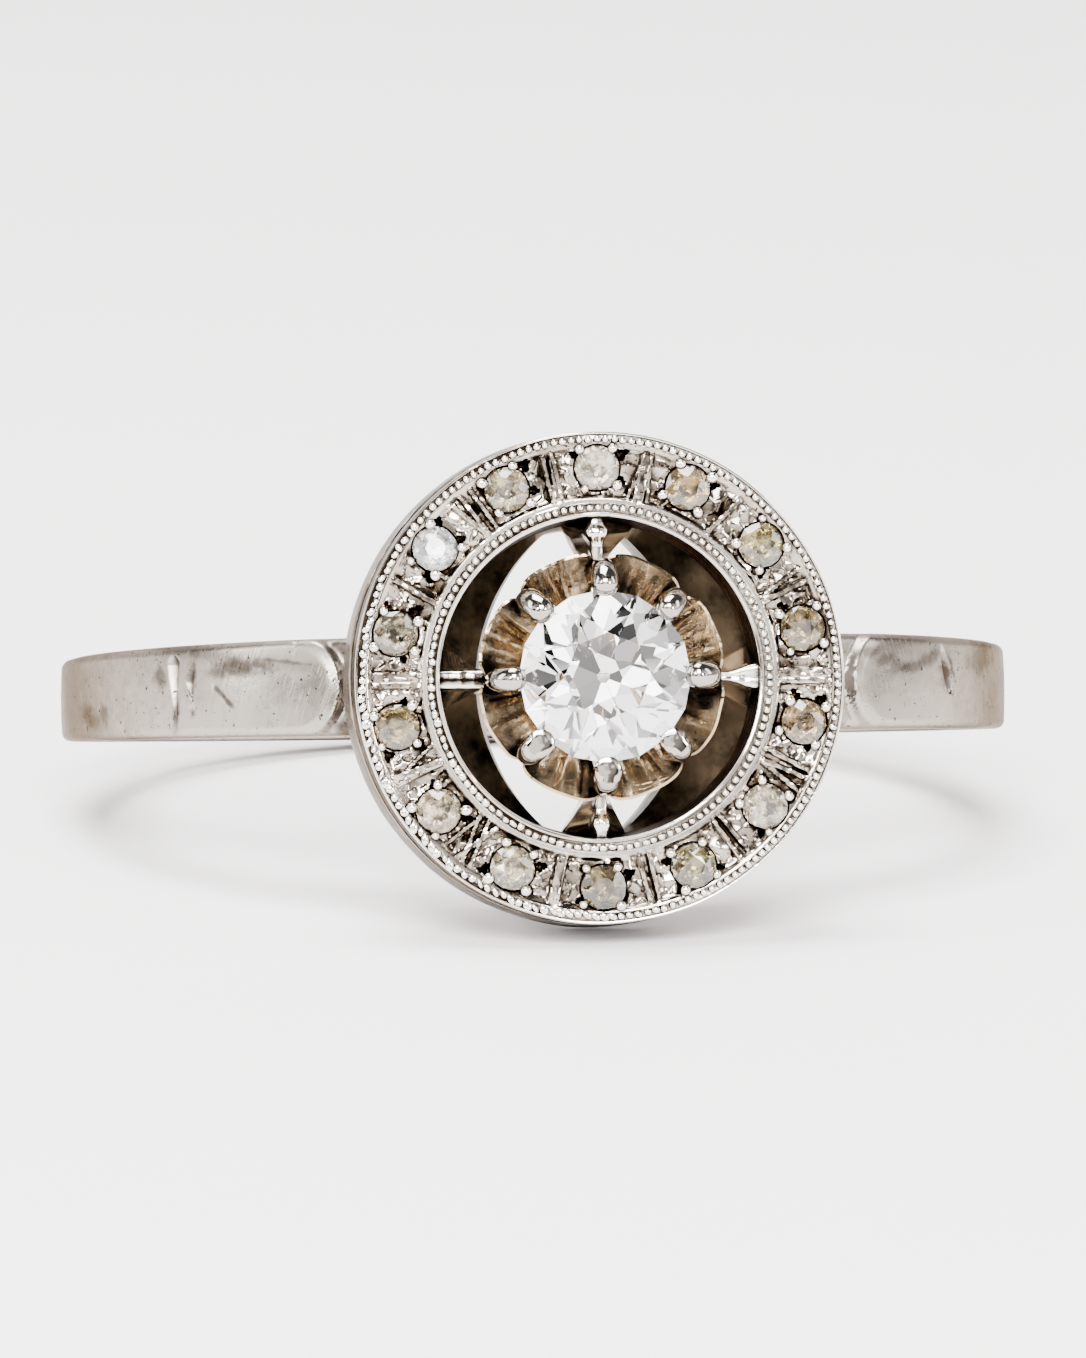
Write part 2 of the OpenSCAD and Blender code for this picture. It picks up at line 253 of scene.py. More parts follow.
def shank_outside(theta, z):
    """The distance of the band's outer face from the finger's centre, at an angle and a height z."""
    left = np.asarray(theta) < 0
    out = (shank_r + back_out) / 2 + (shank_r - back_out) / 2 * np.cos(np.radians(theta))
    past_tip = np.radians(np.abs(theta) - np.where(left, left_tongue_angle, right_tongue_angle)) * shank_r
    outside = np.where(past_tip < tongue_end_r, np.hypot(past_tip - tongue_end_r, z) - tongue_end_r, -1)
    out = out - bevel_drop * rise(outside, -bevel_w, -tongue_lip)
    out = out - (tongue_step - bevel_drop) * rise(outside, -tongue_lip, 0.08)

    # Each notch starts just under the upper edge and runs out to a point; the right one leans and is blunter
    top = np.where(left, left_notch_top, right_notch_top)
    along = np.clip((top - z) / np.where(left, left_notch_length, right_notch_length), 0, 1)
    leaf = np.where(left, np.minimum(1, along / 0.1) ** 0.5 * (1 - along) ** 0.8,
                    1.5 * along ** 0.7 * (1 - along) ** 0.35)
    lean = np.where(left, 0.02 * np.sin(z * 3) + 0.05, 0.4 * (along - 0.6))
    across = np.radians(np.abs(theta) - notch_angle) * shank_r - lean
    half_w = np.where(left, left_notch_half_w, right_notch_half_w)
    out = out - notch_depth * groove(leaf - np.abs(across) / half_w)

    # A thin wavy cut beside the left notch, a dent below it and a slanting scratch nearer the head
    along = np.clip((thin_cut_top - z) / thin_cut_length, 0, 1)
    across = np.radians(thin_cut_angle - theta) * shank_r - 0.04 * np.sin(z * 8)
    out = out - thin_cut_depth * groove(np.sin(along * math.pi) ** 0.5 - np.abs(across) / thin_cut_half_w)
    away = np.hypot(np.radians(dent_angle - theta) * shank_r, z - dent_z)
    out = out - dent_depth * rise(-away, -dent_r, 0)
    along = np.clip((scratch_top - z) / scratch_length, 0, 1)
    across = np.radians(scratch_angle - theta + scratch_turn * along) * shank_r * scratch_slant
    past_end = np.maximum(0, np.abs(scratch_top - scratch_length / 2 - z) - scratch_length / 2)
    out = out - scratch_depth * rise(-np.hypot(across, past_end), -scratch_half_w, 0)
    return out + hammered_depth * waviness(np.radians(theta) * shank_r, z, 1.7, 3)


# The band is swept in fine steps where the tongues and notches are, and in coarse ones round the back
notch_from, notch_to, plain_from = 48.5, 56, 64
shoulder_turn, notch_turn, back_turn = 0.26, 0.1, 1.1
half_turn = np.concatenate([
    np.arange(shank_end_angle, notch_from, shoulder_turn), np.arange(notch_from, notch_to, notch_turn),
    np.arange(notch_to, plain_from, shoulder_turn), np.arange(plain_from, 180, back_turn),
])
thetas = np.concatenate([half_turn, 360 - half_turn[::-1]])
thetas = np.where(thetas > 180, thetas - 360, thetas)
taper = (shoulder_w - back_w) / (shank_r * math.cos(math.radians(shoulder_angle)) + back_out)
reach = np.linspace(-1, 1, 45)
reach = np.sin(reach * math.pi / 2) * 0.35 + reach * 0.65
side_points, bore_points = 5, 6
corner = np.linspace(0, math.pi / 2, 5)[1:]
rows = []
for theta in thetas:
    out = shank_outside(theta, np.zeros(1))[0]
    half_w = (back_w + taper * (back_out + out * math.cos(math.radians(theta)))) / 2
    z = reach * half_w
    over = np.clip(np.abs(z) - (half_w - edge_r), 0, edge_r)
    rho = shank_outside(theta, z) - (edge_r - np.sqrt(edge_r ** 2 - over ** 2)) - crown_h * (z / half_w) ** 2
    down = np.linspace(rho[-1], bore_r + inner_edge_r, side_points + 1)[1:]
    inner_z = half_w - inner_edge_r * (1 - np.cos(corner))
    inner_rho = bore_r + inner_edge_r * (1 - np.sin(corner))
    bore_z = np.linspace(inner_z[-1], -inner_z[-1], bore_points + 2)[1:-1]
    side_z = np.full(side_points, half_w)
    rho = np.concatenate([rho, down, inner_rho, np.full(bore_points, bore_r), inner_rho[::-1], down[::-1]])
    z = np.concatenate([z, side_z, inner_z, bore_z, -inner_z[::-1], -side_z])
    angle = math.radians(theta)
    rows.append(in_ring(rho * math.sin(angle), -rho * math.cos(angle), z))


def on_shoulder(theta, z):
    """A place on the band's outer face, in metres."""
    angle = math.radians(theta)
    out = float(shank_outside(theta, z))
    return in_ring(out * math.sin(angle), -out * math.cos(angle), z)


# Dirt and smears on the band: the angle and height z of the middle, the size along x, y and z, the strength
shoulder_dirt = [
    (-43.4, 0.42, (0.8, 0.8, 0.19), 0.85), (-41.2, 0.49, (0.8, 0.8, 0.17), 0.85),
    (-46, 0.33, (0.45, 0.45, 0.12), 0.6), (-36.3, 0.53, (0.8, 0.8, 0.05), 0.6),
    (-55.6, 0.3, (0.24, 0.32, 0.3), 0.7), (-50.2, 0.27, (0.2, 0.2, 0.55), 1),
    (-50.1, -0.4, (0.12, 0.12, 0.12), 0.5), (-53, -0.42, (0.12, 0.15, 0.5), 1),
    (-30.1, -0.71, (0.05, 0.05, 0.05), 0.9), (-73.3, -0.41, (0.4, 0.8, 0.3), 0.5),
    (-68.7, -0.39, (0.15, 0.35, 0.3), 0.5), (-55, 0.95, (5, 5, 0.22), 0.5),
    (-90, 0.1, (3, 8, 2.5), 0.4), (-29.2, 0.76, (0.6, 0.6, 0.26), 0.8),
    (-28.5, -0.84, (0.6, 0.6, 0.28), 0.9), (33.8, 0.24, (0.12, 0.12, 0.24), 1),
    (33, -0.93, (0.35, 0.35, 0.16), 0.8), (35.6, 0.34, (0.25, 0.25, 0.3), 0.5),
    (37.7, 0.59, (0.5, 0.5, 0.15), 0.6), (40.2, 0.42, (0.45, 0.45, 0.17), 0.6),
    (42.6, 0.27, (0.55, 0.5, 0.16), 0.6), (45.4, 0.29, (0.5, 0.45, 0.15), 0.6),
    (48.1, 0.44, (0.45, 0.4, 0.2), 0.6), (49.9, 0.56, (0.3, 0.3, 0.2), 0.6),
    (52.8, 0.2, (0.36, 0.42, 0.5), 1), (63.5, 0.56, (0.7, 1.3, 0.4), 0.5),
    (90, 0.1, (3, 8.5, 2.5), 0.4), (45, 0.85, (5, 5, 0.18), 0.3),
]
# The slanting scratch has filled with dirt
for share in np.linspace(0, 1, 12):
    shoulder_dirt.append((-46.1 + 2.4 * share, 0.05 - 0.38 * share, (0.09, 0.09, 0.075), 0.6))
shoulder_marks = [(on_shoulder(theta, z), size, strength) for theta, z, size, strength in shoulder_dirt]
worn_polish = white_gold("white_gold_worn_polish", "#a59d94", "#39312a", 0.27, scratches=0.6, uneven=0.35,
                         patches=0.6, marks=shoulder_marks, pitting=0.75, grazing="#9d958d")
add_piece("shank", np.array(rows), tube_faces(len(rows), len(rows[0])), [worn_polish])


# Gallery
# The conical wall that carries the head over the finger, white gold sheet bent round and soldered under
# the plate. Its outside and its foot are filed, and its inside, never polished, is painted near-black as
# shade.
face_out = 12.7
gallery_top_r, gallery_top_w = 4.15, -0.5
gallery_foot_r, gallery_foot_w = 3.35, -4.6
wall = 0.42
foot_opening_u = 2.05
foot_side_r = 4.0
crescent_h = 0.7
crescent_top_w = -2.9
filed_foot_w = -3.9
gallery_steps = 192


def on_head(u, v, w):
    """Points in mm seen from in front of the head: u right, v up, w out of the halo's face."""
    return in_ring(u, -(np.asarray(w, float) + face_out), v)


def round_head(r, turn, w):
    """Points at a distance in mm from the head's axis, an angle clockwise from its top and a height w."""
    return on_head(r * np.sin(turn), r * np.cos(turn), w)


def radius_and_height(point):
    """How far in mm a point in metres is from the head's axis, and how high over the halo's face."""
    from_bore = (np.array(point) - bore_centre) * 1000
    height = -float(from_bore @ to_the_back) - face_out
    return math.hypot(from_bore @ to_the_right, from_bore @ along_finger), height


def gallery_r(w):
    """The gallery's outside radius at a height over the halo's face."""
    up_the_wall = (w - gallery_foot_w) / (gallery_top_w - gallery_foot_w)
    return gallery_foot_r + (gallery_top_r - gallery_foot_r) * up_the_wall


# The wall's outside ends where it meets the bore: a first guess of that height, then four better ones
gallery_turn = np.arange(gallery_steps) * math.tau / gallery_steps
foot_w = np.full(gallery_steps, -4.0)
for _ in range(4):
    foot_w = np.sqrt(bore_r ** 2 - (gallery_r(foot_w) * np.sin(gallery_turn)) ** 2) - face_out

# The ends of the shank close the foot on both sides, so the way through is narrower than it is tall
side_offset = foot_side_r - foot_opening_u
sine = np.abs(np.sin(gallery_turn))
through = -side_offset * sine + np.sqrt(np.maximum(0, foot_side_r ** 2 - side_offset ** 2 * (1 - sine ** 2)))
narrow = np.minimum(gallery_r(foot_w) - wall, through)
foot_in_w = np.sqrt(bore_r ** 2 - (narrow * np.sin(gallery_turn)) ** 2) - face_out

# Down the outside, round the filed foot, up the crescents that close it and up the inside
rows = []
for share in np.linspace(0, 1, 14):
    w = gallery_top_w + (foot_w - gallery_top_w) * share
    rows.append((gallery_r(w), w))
rows += [
    (gallery_r(foot_w) - 0.06, foot_w - 0.01), ((gallery_r(foot_w) + narrow) / 2, (foot_w + foot_in_w) / 2),
    (narrow + 0.03, foot_in_w), (narrow, foot_in_w + 0.05), (narrow, foot_in_w + crescent_h),
    (narrow * 0.9 + (gallery_r(crescent_top_w) - wall) * 0.1, crescent_top_w - 0.05),
]
for share in np.linspace(0.12, 1, 9):
    w = crescent_top_w + (gallery_top_w - crescent_top_w) * share
    rows.append((gallery_r(w) - wall, w))
points = [round_head(r, gallery_turn, w) for r, w in rows]
# A near-black metal whose colour is painted shade, inside the gallery and in the skirt's seam
painted_shade_metal = white_gold("white_gold_painted_shade", "#6e5e4a", "#070503", 0.3, stain_at=(0.65, 1.25),
                         scratches=0.2, uneven=0.6, patches=2.2)
filed_wall = white_gold("white_gold_filed_wall", "#98908a", "#1c140c", 0.2, stain_at=(0.5, 0.9),
                        scratches=0.5, uneven=0.3, patches=0.7, hollow_mm=0.3, grazing="#a09a94")
gallery_faces = grid_faces(len(rows), gallery_steps, closed_columns=True)
gallery = add_piece("gallery", np.array(points), gallery_faces, [painted_shade_metal, filed_wall])
# The inside gets the near-black painted shade; the outside and the foot are filed
for polygon in gallery.data.polygons:
    r, w = radius_and_height(polygon.center)
    polygon.material_index = int(r > gallery_r(w) - 0.1 or w < filed_foot_w)


# Halo plate and skirt
# A round plate of white gold with a sunk channel for the fourteen small stones, drilled right through
# under each, and an upright wall soldered under its edge. The channel is cut bright with a graver,
# which leaves small flat facets, bars between the stones and dark pits beside them.
halo_count = 14
stone_step = math.tau / halo_count
stone_ring_r = 4.13
seat_r, seat_w = 0.48, -0.1
drill_r, drill_w = 0.26, -0.26
channel_in_r = 3.45
channel_out_r = 4.63
channel_depth = 0.08
inner_land, inner_slope, outer_slope = 0.07, 0.1, 0.2
halo_r = 4.85
opening_back_r = 3.09
plate_t = 1.0
pit_depth = 0.2
chip_count = 850
chip_tilt = 0.3
chip_lift_most = 0.01
chip_most = 0.04
chip_blend = 0.005
arc_steps = 28
side_steps = 24
# Bars between the stones: the gap after which stone, offset along the ring in mm, lean, half width, height
bars = [
    (1, -0.1, 0.2, 0.04, 0.02), (1, 0.12, -0.1, 0.035, 0), (2, 0, 0.15, 0.05, 0.02),
    (3, -0.1, -0.2, 0.04, 0), (3, 0.1, 0, 0.05, 0.03), (4, -0.09, 0, 0.06, 0.03),
    (4, 0.1, 0, 0.06, 0.02), (5, -0.1, 0.05, 0.05, 0.03), (5, 0.09, -0.05, 0.05, 0.03),
    (6, -0.1, 0, 0.045, 0.04), (6, 0.09, 0.05, 0.045, 0.04), (7, -0.1, 0, 0.045, 0.04),
    (7, 0.09, 0, 0.045, 0.04), (8, 0, 0, 0.1, 0.03), (9, -0.03, 0.3, 0.05, 0.04),
    (9, 0.07, -0.3, 0.04, 0.03), (10, 0, 0.1, 0.06, 0.04), (10, 0.11, -0.35, 0.035, 0.02),
    (11, -0.1, 0, 0.05, 0.02), (11, 0, 0, 0.03, 0.03), (11, 0.1, 0, 0.05, 0.02),
    (12, 0, 0.1, 0.06, 0.01), (13, -0.05, -0.2, 0.05, 0.02), (14, 0.05, 0.1, 0.05, 0.01),
]
# Pits: the stone they lie beside, the direction from its middle (0 = outwards, clockwise), size in mm
pits = [
    (1, 62, 0.11), (1, 118, 0.08), (1, -60, 0.07), (2, -125, 0.08), (2, 60, 0.08), (3, -50, 0.07),
    (3, 130, 0.09), (4, -120, 0.1), (4, 55, 0.07), (4, 130, 0.08), (5, -62, 0.1), (5, -120, 0.1),
    (5, 70, 0.06), (6, -130, 0.09), (6, -55, 0.07), (6, 60, 0.07), (7, 55, 0.08), (7, -60, 0.07),
    (7, 125, 0.08), (8, -118, 0.11), (8, 62, 0.07), (9, -118, 0.1), (9, -62, 0.08), (9, 62, 0.1),
    (10, -128, 0.1), (10, 40, 0.09), (10, 118, 0.07), (11, -128, 0.12), (11, -60, 0.11), (11, 120, 0.06),
    (12, 120, 0.12), (12, 60, 0.09), (12, -120, 0.07), (13, 60, 0.08), (13, -118, 0.1), (13, 122, 0.09),
    (14, 62, 0.12), (14, 118, 0.09), (14, -60, 0.06),
]


def clockwise(u, v, turn):
    """A place seen from in front, carried clockwise round the head's axis."""
    return u * math.cos(turn) + v * math.sin(turn), v * math.cos(turn) - u * math.sin(turn)


def stone_place(number):
    """The middle of a small stone seen from in front; number 1 is at the top and they run clockwise."""
    return clockwise(0, stone_ring_r, (number - 1) * stone_step)


# Each chip of the graver leaves a small flat with its own middle, slope and lift
graver = np.random.default_rng(11)
chip_r = np.sqrt(graver.uniform(channel_in_r ** 2, channel_out_r ** 2, chip_count))
chip_turn = graver.uniform(0, math.tau, chip_count)
chip_u, chip_v = chip_r * np.sin(chip_turn), chip_r * np.cos(chip_turn)
chip_slope = graver.normal(0, chip_tilt, (chip_count, 2))
chip_lift = graver.uniform(-chip_lift_most, chip_lift_most, chip_count)


def face_height(u, v):
    """The height of the plate's cut face in the channel."""
    r = np.hypot(u, v)
    slope_in = channel_in_r + inner_land
    sunk = rise(r, slope_in, slope_in + inner_slope) * rise(-r, -channel_out_r, outer_slope - channel_out_r)
    du, dv = u[..., None] - chip_u, v[..., None] - chip_v
    away = du ** 2 + dv ** 2
    share = np.exp(-(away - away.min(-1, keepdims=True)) / chip_blend)
    chip = chip_lift + chip_slope[:, 0] * du + chip_slope[:, 1] * dv
    chip = np.clip((share * chip).sum(-1) / share.sum(-1), -chip_most, chip_most)
    # The graver's work starts a little inside the channel's edges
    cut = rise(r, channel_in_r + 0.08, channel_in_r + 0.16)
    cut = cut * rise(-r, 0.07 - channel_out_r, 0.16 - channel_out_r)
    height = -channel_depth * sunk + chip * cut
    for after, offset, lean, half, top in bars:
        sideways, outwards = clockwise(u, v, -(after - 0.5) * stone_step)
        sideways = sideways - offset - lean * (outwards - stone_ring_r)
        shape = rise(-np.abs(sideways), -half * 1.5, -half * 0.8) * cut
        height = height * (1 - shape) + np.maximum(height, top + 0.01 * waviness(u, v, 0.3, after)) * shape
    # Each pit has three lobes
    for number, direction, size in pits:
        middle_u, middle_v = stone_place(number)
        turn = (number - 1) * stone_step + math.radians(direction)
        pit_u, pit_v = clockwise(0, seat_r + size * 0.9, turn)
        du, dv = u - middle_u - pit_u, v - middle_v - pit_v
        lobes = 1 + 0.32 * np.cos(3 * (np.arctan2(du, dv) - turn))
        height = height - pit_depth * rise(-np.hypot(du, dv), -size * lobes, -size * lobes * 0.35)
    return height


def sector_rings(inner, outer, hole, steps):
    """Rings of points over one stone's share of the ring, from its edge in to a round hole for the stone."""
    half = stone_step / 2
    arc = np.linspace(-half, half, arc_steps + 1)[:-1]
    side = np.linspace(0, 1, side_steps + 1)[:-1]
    r = np.concatenate([np.full(arc_steps, outer), outer + (inner - outer) * side,
                        np.full(arc_steps, inner), inner + (outer - inner) * side])
    turn = np.concatenate([arc, np.full(side_steps, half), -arc, np.full(side_steps, -half)])
    du, dv = r * np.sin(turn), r * np.cos(turn) - stone_ring_r
    far = np.hypot(du, dv)
    distance = hole + (far - hole) * np.linspace(1, 0, steps)[:, None]
    return du / far * distance, stone_ring_r + dv / far * distance


top_u, top_v = sector_rings(channel_in_r, channel_out_r, seat_r, 21)
under_u, under_v = sector_rings(opening_back_r, halo_r - wall, drill_r, 5)
around = len(top_u[0])
points, faces = [], []
for number in range(halo_count):
    turn = number * stone_step
    layers = []
    for u, v in zip(top_u, top_v):
        u, v = clockwise(u, v, turn)
        layers.append(on_head(u, v, face_height(u, v)))
    for radius, w in ((seat_r, seat_w), (drill_r, drill_w), (drill_r, -plate_t)):
        u, v = top_u[-1] * radius / seat_r, stone_ring_r + (top_v[-1] - stone_ring_r) * radius / seat_r
        layers.append(on_head(*clockwise(u, v, turn), w))
    for u, v in zip(under_u[::-1][1:], under_v[::-1][1:]):
        layers.append(on_head(*clockwise(u, v, turn), -plate_t))
    faces += grid_faces(len(layers), around, closed_columns=True, start=len(points) * around)
    points += layers
points = list(np.array(points).reshape(-1, 3))

# Turned profiles, as radius and height: the rims with their grooves for the beads, one down the plate's
# outer edge and one down the opening, and the skirt with its fine seam
bead_groove_w = -0.03
seam_lip = [(4.785, -0.92), (4.85, -0.97)]
outer_profile = [
    (channel_out_r, 0), (4.64, 0.008), (4.655, -0.008), (4.68, -0.028), (4.72, -0.028),
    (4.75, bead_groove_w), (4.78, bead_groove_w), (4.8, 0.0), (4.82, 0.003), (4.838, -0.008),
    (4.848, -0.035), (4.84, -0.2), (halo_r - wall, -plate_t),
]
opening_profile = [
    (channel_in_r, 0), (3.44, 0.006), (3.42, -0.004), (3.38, -0.028), (3.32, -0.028),
    (3.29, bead_groove_w), (3.265, bead_groove_w), (3.25, -0.002), (3.215, 0.0), (3.185, -0.012),
    (3.17, -0.05), (3.16, -0.2), (3.14, -0.45), (3.12, -0.75), (3.1, -0.96), (opening_back_r, -plate_t),
]
skirt_profile = [
    (4.846, -0.035), (4.848, -0.3), (4.85, -0.55), (4.85, -0.62), (4.84, -0.66), (4.79, -0.7), *seam_lip,
    (4.868, -1.0), (4.878, -1.3), (4.893, -1.7), (4.905, -2.02), (4.9, -2.07), (4.87, -2.1),
    (4.55, -2.1), (4.5, -2.07), (4.49, -2.0), (4.47, -1.5), (4.43, -0.95), (4.6, -0.4),
]
ring_steps = arc_steps * halo_count
ring_turn = (np.arange(ring_steps) / arc_steps - 0.5) * stone_step


def turned(profile, fixed=()):
    """Rings of points for a profile turned round the head's axis, not quite true except where it is fixed."""
    strip = []
    for place in profile:
        r, w = place
        up, right = np.cos(ring_turn) * r, np.sin(ring_turn) * r
        if place not in fixed:
            r = r + 0.008 * waviness(up, right, 2.3, 5)
        # The groove for the beads is cut deeper on the left, and the lower lip of the seam wanders a little
        if w == bead_groove_w:
            w = w + (0.01 - 0.04 * rise(-np.sin(ring_turn), -0.5, 0.6))
        if place in seam_lip:
            w = w + 0.025 * waviness(up, right, 1.3, 6)
        strip.append(round_head(r, ring_turn, w))
    return np.array(strip)


for profile in (outer_profile, opening_profile):
    strip = turned(profile, fixed=(profile[0], profile[-1]))
    faces += grid_faces(len(strip), ring_steps, closed_columns=True, start=len(points))
    points += list(strip.reshape(-1, 3))
dirty_places = [
    (-0.98, 4.01), (0.8, 4.11), (2.34, 3.41), (3.68, 1.83), (-4.1, 0.1), (-3.66, 1.3), (3.6, 0.3),
    (-1.3, 3.7), (2.9, -3.1), (-0.6, -4.1),
]
channel_marks = [(on_head(u, v, 0), (0.42, 1.0, 0.45), 0.6) for u, v in dirty_places]
bright_cut = white_gold("white_gold_bright_cut", "#bab0a3", "#241606", 0.08, stain_at=(0.5, 1.02),
                        scratches=0.25, uneven=0.25, patches=1.6, hollow_mm=0.3, marks=channel_marks,
                        pitting=0.6)
# The wall in the opening has a dull finish and a dark colour that is painted shade
opening_wall_painted_shade = white_gold("white_gold_opening_wall_painted_shade", "#6a5d50", "#120d07", 0.3, stain_at=(0.6, 1.2),
                       scratches=0.4, uneven=0.4, patches=0.8, grazing="#5a5047")
filed_edge = white_gold("white_gold_filed_edge", "#989089", "#1c140c", 0.25, stain_at=(0.45, 0.9),
                        scratches=0.5, uneven=0.4, patches=0.8, grazing="#574d44")
rolled_rim = white_gold("white_gold_rolled_rim", "#dcd4ca", "#3c2f21", 0.12, stain_at=(0.4, 0.8),
                        scratches=0.2, uneven=0.15, patches=0.8, hollow_mm=0.15)
plate_metals = [bright_cut, opening_wall_painted_shade, filed_edge, rolled_rim]
halo_plate = add_piece("halo_plate", np.array(points), faces, plate_metals, crease=22)
skirt_faces = grid_faces(len(skirt_profile), ring_steps, closed_rows=True, closed_columns=True)
skirt = add_piece("skirt", turned(skirt_profile), skirt_faces, [filed_wall, filed_edge, painted_shade_metal])

# The plate's wall in the opening is dull and painted dark as shade, its outer edge filed, and both rims
# are bright from the wheel
opening_wall_r, outer_edge_r = 3.19, 4.83
for polygon in halo_plate.data.polygons:
    r, w = radius_and_height(polygon.center)
    if w < -0.04 and not opening_wall_r < r < outer_edge_r:
        polygon.material_index = 1 if r < stone_ring_r else 2
    elif w > -0.05 and not channel_in_r + inner_land < r < channel_out_r:
        polygon.material_index = 3

# The skirt is filed like that edge down to its seam; the seam's sunk band is painted near-black as shade
skirt_outside_r, seam_top_w, seam_foot_w = 4.7, -0.65, -0.98
for polygon in skirt.data.polygons:
    r, w = radius_and_height(polygon.center)
    if r > skirt_outside_r and w > seam_foot_w:
        polygon.material_index = 1 if w > seam_top_w else 2


# Milgrain rims
# Two rows of tiny beads rolled along the edges of the channel with a knurled wheel, worn almost flat
# in places, most of all at the lower left.
bead = bmesh.new()
bmesh.ops.create_icosphere(bead, subdivisions=2, radius=1)
bead_points = np.array([v.co for v in bead.verts])
bead_faces = np.array([[v.index for v in f.verts] for f in bead.faces])
bead.free()


def bead_mesh(beads):
    """Points and faces of small beads on the head, each with its middle, three half sizes and turn."""
    all_points, all_faces = [], []
    for number, ((u, v, w), half_sizes, turn) in enumerate(beads):
        shape = bead_points * half_sizes
        du, dv = clockwise(shape[:, 0], shape[:, 1], turn)
        all_points.append(on_head(u + du, v + dv, w + shape[:, 2]))
        all_faces.append(bead_faces + number * len(bead_points))
    return np.array(all_points), np.concatenate(all_faces).tolist()


# Half the length of a bead along the rim, half its width and half its height
bead_long, bead_wide, bead_high = 0.077, 0.08, 0.085
most_worn = math.radians(235)
# Each rim: its radius, how many beads, how worn they are at the lower left, and how worn all round
rims = [(4.7, 172, 0.75, 0.25), (3.35, 124, 0.35, 0)]
wheel = np.random.default_rng(4)
beads = []
for rim_r, count, tired, worn_all_round in rims:
    for number in range(count):
        turn = (number + wheel.uniform(-0.08, 0.08)) * math.tau / count
        lower_left = rise(math.cos(turn - most_worn), 0.1, 0.9)
        wear = tired * lower_left + worn_all_round
        uneven = 1 + 3 * tired * lower_left
        merged = 1 + 0.6 * tired * lower_left
        r = rim_r + wheel.normal(0, 0.006) * uneven
        half_sizes = (bead_long * (merged + wheel.uniform(-0.15, 0.1) * uneven),
                      bead_wide * (1 + wheel.uniform(-0.15, 0.1) * uneven),
                      bead_high * (1 - 0.5 * wear) * wheel.uniform(0.85, 1.1))
        beads.append(((*clockwise(0, r, turn), 0.01 - 0.02 * wear), half_sizes, turn + 0.7 * wear))
bead_metal = white_gold("white_gold_rolled_beads", "#ece6de", "#20160b", 0.09, stain_at=(0.5, 0.9),
                        scratches=0.1, uneven=0.1, patches=0.5, hollow_mm=0.15)
add_piece("milgrain_rims", *bead_mesh(beads), [bead_metal], crease=60, welded=False)


# Grains
# Small round beads of metal raised with a graver and pushed over the edge of each small stone.
grain_away, grain_w, grain_high = 0.5, -0.02, 0.1
raised = np.random.default_rng(9)
beads = []
for number in range(1, halo_count + 1):
    middle_u, middle_v = stone_place(number)
    for quarter in (45, 135, 225, 315):
        turn = (number - 1) * stone_step + math.radians(quarter + raised.normal(0, 7))
        du, dv = clockwise(0, grain_away + raised.uniform(-0.02, 0.04), turn)
        size = raised.uniform(0.085, 0.12)
        half_sizes = (size, size * raised.uniform(0.9, 1.2), grain_high * raised.uniform(0.8, 1.15))
        beads.append(((middle_u + du, middle_v + dv, grain_w), half_sizes, turn))
add_piece("grains", *bead_mesh(beads), [bead_metal], crease=60, welded=False)


# Cross bars
# Four webs of white gold that tie the cup to the halo plate, each a narrow ridge over a wider web that
# spreads towards the plate. Solder has run over them, and left a bright knob at the top and bottom ones.
bar_from_r, bar_to_r = 1.35, 3.22
bar_rows = 30
ridge_half = 0.1
solder_w = -0.2
web_half = 0.22
web_step = 0.02
web_top_w, web_side_w, bar_foot_w = -0.6, -0.95, -1.7
# Across the ridge: the share of its half width, and its height before any solder has filled its groove
ridge = [(-1.0, -0.42), (-0.95, -0.3), (-0.75, -0.23), (-0.5, -0.21), (-0.22, -0.3), (0.0, -0.36),
         (0.22, -0.3), (0.5, -0.21), (0.75, -0.23), (0.95, -0.3), (1.0, -0.42)]
# How full the groove is, how far the web spreads on its left and right, and half the ridge's width at the
# plate's end, for each bar clockwise from the top
bar_kinds = [(1.0, 0.35, 0.65, 0.28), (0.85, 0.4, 0.35, 0.3),
             (1.0, 0.35, 0.45, 0.22), (0.15, 0.35, 0.5, 0.21)]


def bump(value, middle, width):
    """A soft bump, 1 high at its middle."""
    return math.exp(-((value - middle) / width) ** 2)


points, faces = [], []
for number, (full, spread_left, spread_right, end_half) in enumerate(bar_kinds):
    flare = end_half - ridge_half
    for share in np.linspace(0, 1, bar_rows):
        out = bar_from_r + (bar_to_r - bar_from_r) * share
        if full == 1:
            half = ridge_half + 0.12 * rise(-share, -0.45, 0.0) + flare * bump(out, 2.9, 0.2)
            half += 0.04 * bump(out, 2.5, 0.08) + 0.05 * rise(share, 0.93, 1)
            knob = 0.1 * bump(out, 2.86, 0.16)
        else:
            half = end_half if full < 0.5 else ridge_half + flare * rise(out, 2.5, 3.2)
            knob = 0.02 * waviness(out, number, 0.3, 7)
        web = rise(share, 0.45, 1.0)
        left, right = web_half + spread_left * web, web_half + spread_right * web
        across = [-left - web_step, -left, -half - web_step, *(half * s for s, _ in ridge),
                  half + web_step, right, right + web_step]
        top = [w + (solder_w - w) * full * (1 - abs(s)) ** 0.5 + knob * (1 - s * s) for s, w in ridge]
        high = [bar_foot_w, web_side_w, web_top_w, *top, web_top_w, web_side_w, bar_foot_w]
        points.append(on_head(*clockwise(np.array(across), out, number * math.pi / 2), high))
    faces += tube_faces(bar_rows, len(across), start=number * bar_rows * len(across))
add_piece("cross_bars", np.array(points), faces, [bead_metal], crease=50)


# Cup
# A flared cup of thin white gold under the main stone, scooped into eight petals between the claws and
# joined to the bars below. It can't be reached for polishing, so it has gone brown-gold.
claw_count = 8
cup_rim_r, cup_rim_w = 2.46, 0.33
cup_waist_r, cup_waist_w = 1.55, -0.75
cup_waist_in_r = 1.43
cup_foot_r, cup_foot_w = 1.3, -2.1
scallop_in, scallop_down = 0.24, 0.1
scoop_depth = 0.1
graze_depth = 0.045
cup_steps = claw_count * 26
cup_turn = np.arange(cup_steps) * math.tau / cup_steps
